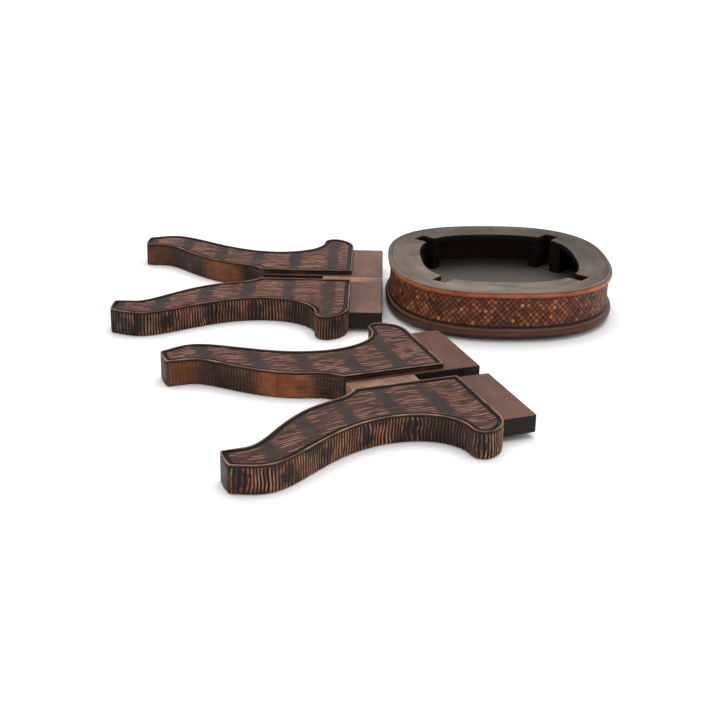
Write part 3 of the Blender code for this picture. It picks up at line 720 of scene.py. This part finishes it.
def bandQuarter(name, node, start, seed, finish):
    # a hollow wall: every diamond of the lattice is a pillow, 1 - a^5 by 1 - b^5 across its two
    # slanting directions
    g = topShape
    rough = np.linspace(start, start + math.pi / 2, 2000)
    x, y = roundedSquare(g["bandHalf"], g["rimPower"], rough)
    run = np.r_[0, np.cumsum(np.hypot(np.diff(x), np.diff(y)))]
    cells = round(run[-1] / weave["cellWide"])
    even = np.linspace(0, 1, weave["columns"])
    angle = np.interp(even * run[-1], run, rough)
    trim = g["gap"] / 2 / g["bandHalf"]
    angle = np.clip(angle, start + trim, start + math.pi / 2 - trim)[:, None]
    low = g["seatThick"] + g["gap"]
    high = topHigh - g["rimThick"] - g["gap"]
    k = np.linspace(0, 1, weave["rows"])[None, :]
    level = low + (high - low) * k
    across = even[:, None] * cells
    upright = (level - low) / weave["cellHigh"]
    sway = 0.07 * (softNoise(across * 0.8, upright * 0.9, seed) - 0.5)
    a = across + upright + sway
    b = across - upright + 40 + sway
    fromMiddleA = np.abs(2 * (a - np.floor(a)) - 1)
    fromMiddleB = np.abs(2 * (b - np.floor(b)) - 1)
    seam = ease(np.maximum(fromMiddleA, fromMiddleB), 0.70, 0.93)
    diamonds = np.random.default_rng(seed).random((3, 256, 256))
    tone, hue, size = diamonds[:, np.floor(a).astype(int) % 256, np.floor(b).astype(int) % 256]
    patch = softNoise(across / 5 + 3, upright / 3 + 5, seed + 1)
    tone = 0.42 + 0.62 * (tone - 0.5) + 0.28 * np.maximum(tone - 0.93, 0) / 0.07 + 0.4 * (patch - 0.5)
    border = between(level, low + 0.6 * mm, low + weave["border"], high - weave["border"], high - 0.6 * mm)
    height = (1 - fromMiddleA ** 5) * (1 - fromMiddleB ** 5) * (0.6 + 0.4 * size) * border
    hollow = g["bandHollow"] * np.sin(math.pi * k)
    half = g["bandHalf"] + (1 - k) * mm - hollow - 0.9 * mm + weave["pillow"] * height
    power = g["seatPower"] + (g["rimPower"] - g["seatPower"]) * k
    x, y = roundedSquare(half, power, angle)
    inX, inY = roundedSquare(g["bandHalf"] - g["bandWall"], g["seatPower"], angle + 0 * k[:, :2])
    z = np.hstack([level + 0 * angle, np.array([[high, low]]) + 0 * angle])
    points = np.column_stack([np.hstack([x, inX]).ravel(), np.hstack([y, inY]).ravel(), z.ravel()])
    pad = np.zeros((len(angle), 2))
    values = dict(seam=np.hstack([np.maximum(seam, 1 - border), pad + 0.9]).ravel(),
                  tone=np.hstack([np.clip(tone, 0, 1), pad + 0.1]).ravel(),
                  hue=np.hstack([hue, pad]).ravel(), along=points)
    ring = weave["rows"] + 2
    caps = [np.arange(ring), (len(angle) - 1) * ring + np.arange(ring)]
    quads = gridQuads(len(angle), ring, False, True)
    meshPiece(name, points, quads, caps, values, finish, "top", [node], 60)


def sweptPiece(name, node, rows, power, finish, steps, solid):
    # rows of reach, level, sunk, wear and painted highlight, and dark line and painted shade carried round
    # the rounded square; a solid one is capped at both ends
    half, level, sunk, wearAndHighlight, line = rows.T[:, :, None]
    angle = np.linspace(0, 2 * math.pi, steps, endpoint=False)[None, :]
    x, y = roundedSquare(half, power, angle)
    z = level + 0 * x
    run = angle * topShape["rimHalf"] * 1.1
    values = {key: (value + 0 * x).ravel() for key, value in dict(sunk=sunk, wearAndHighlight=wearAndHighlight, line=line).items()}
    values["along"] = np.column_stack([(run + 0 * x).ravel(), (half + 0 * x).ravel(), z.ravel()])
    caps = [np.arange(steps), (len(rows) - 1) * steps + np.arange(steps)] if solid else []
    points = np.column_stack([x.ravel(), y.ravel(), z.ravel()])
    quads = gridQuads(len(rows), steps, not solid, True)
    meshPiece(name, points, quads, caps, values, finish, "top", [node], 50)


def seatRows():
    # the flat seat face, a quarter ellipse out to the widest line, another in over the moulding, a small step
    # and the floor of the hollow
    g = topShape
    flat = np.linspace(0.12, 1.0, 10)
    under = np.linspace(math.radians(6), math.pi / 2, 16)
    over = np.linspace(0, math.pi / 2, 16)[1:]
    mouldLevel = g["seatRise"] + (g["mouldHigh"] - g["seatRise"]) * np.sin(over)
    quirk = g["quirk"] * np.exp(-((mouldLevel - g["quirkHigh"]) / (0.8 * mm)) ** 2)
    reach = np.r_[(g["seatHalf"] - g["seatRound"]) * flat,
                  g["seatHalf"] - g["seatRound"] * (1 - np.sin(under)),
                  g["seatHalf"] - g["mouldProud"] * (1 - np.cos(over)) - quirk]
    level = np.r_[0 * flat, g["seatRise"] * (1 - np.cos(under)), mouldLevel]
    # the top of the moulding lighter: wear and painted highlight
    wearAndHighlight = ease(level, 18.4 * mm, 19.4 * mm)
    # painted shade on the moulding's underside, and a dark line along the quirk
    shade = 0.7 * (1 - ease(level, 8.5 * mm, 12.5 * mm)) * (level > 0.1 * mm)
    line = np.maximum(shade, 0.55 * np.exp(-((level - 18.0 * mm) / (0.8 * mm)) ** 2))
    edge = np.column_stack([reach, level, 0 * level, wearAndHighlight, line])
    neck = g["seatHalf"] - g["mouldProud"] - g["neckTaper"]
    step = [(neck + 0.1 * mm, 22.2 * mm, 0, 0, 0.85), (neck, 23.0 * mm, 0, 0, 0.85),
            (neck - 0.5 * mm, g["seatThick"], 0, 0, 0.85)]
    hollow = [(neck * share, g["seatThick"], 1, 0, 0) for share in flat[::-1] * 0.98]
    return np.vstack([edge, step, hollow])


def beadRows():
    # half an ellipse outside, from -90 to 90 degrees, then flat inside with a small eased corner at each end
    g = topShape
    turn = np.linspace(-90, 90, 25)
    reach = g["rimHalf"] - g["beadProud"] * (1 - np.cos(np.radians(turn)))
    level = topHigh - g["rimThick"] / 2 * (1 - np.sin(np.radians(turn)))
    # painted highlight round the front of the bead
    wearAndHighlight = 0.8 * np.exp(-((turn - 12) / 26) ** 2)
    # a dark line near the bead's top and painted shade on its underside
    line = np.maximum(0.8 * np.exp(-((turn - 55) / 12) ** 2), 0.9 * ease(-turn, 45, 70))
    outside = np.column_stack([reach, level, ease(turn, 62, 76), wearAndHighlight, line])
    inside = g["rimHalf"] - g["beadWidth"]
    low = topHigh - g["rimThick"]
    corner = 0.3 * mm
    back = [(inside + corner, topHigh, 1, 0, 0), (inside, topHigh - corner, 1, 0, 0),
            (inside, low + corner, 1, 0, 0), (inside + corner, low, 1, 0, 0)]
    return np.vstack([outside, back])


def wovenFinish(name, look):
    # each diamond has its own tone from near black to tan, with dark sunk lines between
    finish, tree, shader = newFinish(name, look)
    place = readValue(tree, "along", "Vector")
    fine = mottle(tree, place, look["grain"], 5.0, 0.6, 0.3)
    cloud = mottle(tree, place, look["cloud"], 4.0, 0.6, 0.3)
    tone = reckon(tree, "ADD", readValue(tree, "tone"), remap(tree, fine, 0.3, 0.7, -0.2, 0.2))
    tone = reckon(tree, "ADD", tone, remap(tree, cloud, 0.3, 0.7, -0.1, 0.1))
    hue = remap(tree, readValue(tree, "hue"), 0.35, 0.65, 0.0, 1.0)
    colour = blend(tree, hue, ramp(tree, tone, look["warm"]), ramp(tree, tone, look["cool"]))
    colour = blend(tree, remap(tree, readValue(tree, "seam"), 0.0, 1.0, 0.0, 0.94), colour, look["soot"])
    closeFinish(tree, shader, look, colour, fine, 0.08, 0.08, fine)
    return finish


def laidFinish(name, look):
    # a swept lath or board: clouded colour along the run, fine lines the same way, darker where sunk,
    # with painted shade towards the back
    finish, tree, shader = newFinish(name, look)
    place = readValue(tree, "along", "Vector")
    grain = mottle(tree, place, look["grain"], 6.0, 0.65, 0.4)
    cloud = mottle(tree, place, look["cloud"], 4.0, 0.55, 0.3)
    colour = blend(tree, remap(tree, cloud, 0.34, 0.66, 0.0, 1.0), look["dark"], look["light"])
    pores = ramp(tree, grain, [(0.28, look["pore"]), (0.55, (1.0, 1.0, 1.0))])
    colour = blend(tree, 1.0, colour, pores, "MULTIPLY")
    colour = blend(tree, readValue(tree, "sunk"), colour, look["soot"])
    # dark lines and painted shade
    colour = blend(tree, readValue(tree, "line"), colour, look["line"])
    # wear and painted highlight
    uneven = remap(tree, cloud, 0.3, 0.6, 0.4, 1.0)
    rubAndHighlight = reckon(tree, "MULTIPLY", readValue(tree, "wearAndHighlight"), uneven, True)
    colour = blend(tree, rubAndHighlight, colour, look["wearAndHighlight"])
    # painted shade towards the back
    back = remap(tree, objectAxes(tree)[1], look["frontEnds"], look["backStarts"], 0.0, 1.0)
    colour = blend(tree, back, colour, look["backShade"], "MULTIPLY")
    closeFinish(tree, shader, look, colour, grain, 0.06, 0.08, grain)
    return finish


def rimFinish(name, look):
    # flat rim: brushed lines round the ring, read from the bearing and the reach of each place;
    # painted shade darkens it towards the back and the right, and painted shade makes it nearly black under
    # the flat face
    finish, tree, shader = newFinish(name, look)
    x, y, z = objectAxes(tree)
    bearing = reckon(tree, "ARCTAN2", y, x)
    squares = reckon(tree, "ADD", reckon(tree, "MULTIPLY", x, x), reckon(tree, "MULTIPLY", y, y))
    join = tree.nodes.new("ShaderNodeCombineXYZ")
    feed(tree, join.inputs[0], reckon(tree, "MULTIPLY", bearing, look["meanReach"]))
    feed(tree, join.inputs[1], reckon(tree, "SQRT", squares))
    feed(tree, join.inputs[2], z)
    grain = mottle(tree, join.outputs[0], look["grain"], 6.0, 0.7, 0.4)
    cloud = mottle(tree, join.outputs[0], look["cloud"], 4.0, 0.55, 0.3)
    colour = blend(tree, remap(tree, cloud, 0.32, 0.68, 0.0, 1.0), look["dark"], look["light"])
    pores = ramp(tree, grain, [(0.3, look["pore"]), (0.55, (1.0, 1.0, 1.0))])
    colour = blend(tree, 1.0, colour, pores, "MULTIPLY")
    # painted shade towards the back and the right
    colour = blend(tree, remap(tree, y, -0.15, 0.17, 0.0, 1.0), colour, look["backShade"], "MULTIPLY")
    colour = blend(tree, remap(tree, x, 0.06, 0.17, 0.0, 1.0), colour, look["rightShade"], "MULTIPLY")
    # painted shade, near black, on the faces below the flat top
    under = remap(tree, z, topHigh - 1.6 * mm, topHigh - 0.4 * mm, 1.0, 0.0)
    colour = blend(tree, under, colour, look["under"])
    closeFinish(tree, shader, look, colour, grain, 0.06, 0.08, grain)
    return finish


weaveLook = dict(
    warm=[(0.05, (0.062, 0.020, 0.011)), (0.4, (0.176, 0.049, 0.018)), (0.72, (0.31, 0.094, 0.034)),
          (0.97, (0.47, 0.185, 0.080))],
    cool=[(0.05, (0.047, 0.022, 0.019)), (0.45, (0.144, 0.048, 0.026)), (0.78, (0.26, 0.092, 0.050)),
          (0.98, (0.40, 0.175, 0.098))],
    soot=(0.014, 0.006, 0.005), grain=(420.0, 420.0, 420.0), cloud=(22.0, 22.0, 22.0),
    roughness=0.4, specular=0.14, bump=0.25 * mm)
# the seat darkens towards the back as painted shade; its line colour is a dark line and painted shade, its
# worn colour wear and painted highlight
seatLook = dict(
    dark=(0.075, 0.030, 0.018), light=(0.125, 0.050, 0.029), pore=(0.55, 0.5, 0.48),
    soot=(0.172, 0.150, 0.135),
    wearAndHighlight=(0.135, 0.072, 0.054), line=(0.022, 0.012, 0.009),
    grain=(25.0, 500.0, 500.0), cloud=(12.0, 30.0, 30.0),
    frontEnds=-0.14, backStarts=0.14, backShade=(0.42, 0.38, 0.37),
    roughness=0.4, specular=0.12, bump=0.1 * mm)
# the bead darkens towards the back as painted shade; its line colour is a dark line and painted shade, its
# worn colour a painted highlight
beadLook = dict(
    dark=(0.17, 0.036, 0.013), light=(0.32, 0.080, 0.029), pore=(0.6, 0.5, 0.45), soot=(0.115, 0.086, 0.070),
    wearAndHighlight=(0.45, 0.145, 0.062), line=(0.045, 0.022, 0.016),
    grain=(40.0, 600.0, 600.0), cloud=(30.0, 60.0, 60.0),
    frontEnds=-0.13, backStarts=0.02, backShade=(0.42, 0.5, 0.56),
    roughness=0.33, specular=0.2, bump=0.08 * mm)
# the rim darkens towards the back and the right as painted shade, and the under colour is painted shade below
# the flat top
rimLook = dict(
    dark=(0.115, 0.083, 0.065), light=(0.235, 0.182, 0.148), pore=(0.62, 0.58, 0.55),
    grain=(24.0, 420.0, 100.0),
    cloud=(14.0, 34.0, 30.0), meanReach=0.17, backShade=(0.42, 0.40, 0.37), rightShade=(0.66, 0.63, 0.61),
    under=(0.010, 0.007, 0.007), roughness=0.5, specular=0.12, bump=0.12 * mm)
# near-black colours: painted shade on the guide blocks deep in the hollow
guideLook = dict(
    dark=(0.006, 0.004, 0.004), light=(0.014, 0.008, 0.007), pore=(0.5, 0.45, 0.45), fleck=(1.2, 1.1, 1.1),
    grain=(150.0, 150.0, 60.0), cloud=(30.0, 30.0, 12.0), roughness=0.6, specular=0.08, bump=0.15 * mm)

bandFinish = wovenFinish("wovenBand", weaveLook)
for i in range(4):
    start = math.pi / 4 + topShape["notchTurn"] + math.pi / 2 * i
    bandQuarter("band_%d" % (i + 1), "apron_%d" % (i + 1), start, 900 + 13 * i, bandFinish)
print("woven band")

seatWood = laidFinish("seatWood", seatLook)
beadWood = laidFinish("beadWood", beadLook)
sweptPiece("seatBoard", "seat_board", seatRows(), topShape["seatPower"], seatWood, 360, True)
sweptPiece("rimBead", "rim_bead", beadRows(), topShape["rimPower"], beadWood, 420, False)
rimWood = rimFinish("rimWood", rimLook)
guideWood = plainFinish("guideWood", guideLook)
for i in range(4):
    easedCopy("rimSegment_%d" % (i + 1), "rim_segment_%d" % (i + 1), rimWood, "top", 0.3 * mm)
for i in range(8):
    easedCopy("guideBlock_%d" % (i + 1), "guide_block_%d" % (i + 1), guideWood, "top", 0.8 * mm)
print("top")


studio = dict(
    floorHalf=30.0, floorDrop=0.4 * mm, floorTone=0.96, skyStrength=0.78,
    sunStrength=1.9, sunSpread=math.radians(60), sunTurn=(math.radians(-17), math.radians(5), 0.0),
    cameraPlace=(-0.2406, -2.2178, 0.7936), cameraPitch=math.radians(21.715), cameraRoll=math.radians(0.994),
    lens=66.03, shiftY=-0.0189,
)

reach, drop, tone = studio["floorHalf"], -studio["floorDrop"], studio["floorTone"]
floorMesh = bpy.data.meshes.new("floor")
floorCorners = [(-reach, -reach, drop), (reach, -reach, drop), (reach, reach, drop), (-reach, reach, drop)]
floorMesh.from_pydata(floorCorners, [], [(0, 1, 2, 3)])
floor = bpy.data.objects.new("floor", floorMesh)
bpy.context.scene.collection.objects.link(floor)
floorFinish, floorTree, floorShader = newFinish("paleFloor", dict(roughness=0.9, specular=0.1))
floorShader.inputs["Base Color"].default_value = (tone, tone, tone, 1.0)
floorMesh.materials.append(floorFinish)

world = bpy.data.worlds.new("studio")
world.use_nodes = True
sky = world.node_tree.nodes["Background"]
sky.inputs["Color"].default_value = (1.0, 1.0, 1.0, 1.0)
sky.inputs["Strength"].default_value = studio["skyStrength"]
bpy.context.scene.world = world

sunLight = bpy.data.lights.new("softKey", "SUN")
sunLight.energy = studio["sunStrength"]
sunLight.angle = studio["sunSpread"]
sun = bpy.data.objects.new("softKey", sunLight)
sun.rotation_euler = studio["sunTurn"]
bpy.context.scene.collection.objects.link(sun)

cameraData = bpy.data.cameras.new("camera")
cameraData.sensor_width = 36.0
cameraData.lens = studio["lens"]
cameraData.shift_y = studio["shiftY"]
cameraData.clip_end = 100.0
camera = bpy.data.objects.new("camera", cameraData)
camera.matrix_world = (Matrix.Translation(studio["cameraPlace"])
                       @ Matrix.Rotation(math.pi / 2 - studio["cameraPitch"], 4, "X")
                       @ Matrix.Rotation(studio["cameraRoll"], 4, "Z"))
bpy.context.scene.collection.objects.link(camera)
bpy.context.scene.camera = camera
bpy.context.scene.view_settings.view_transform = "Standard"
print("studio")
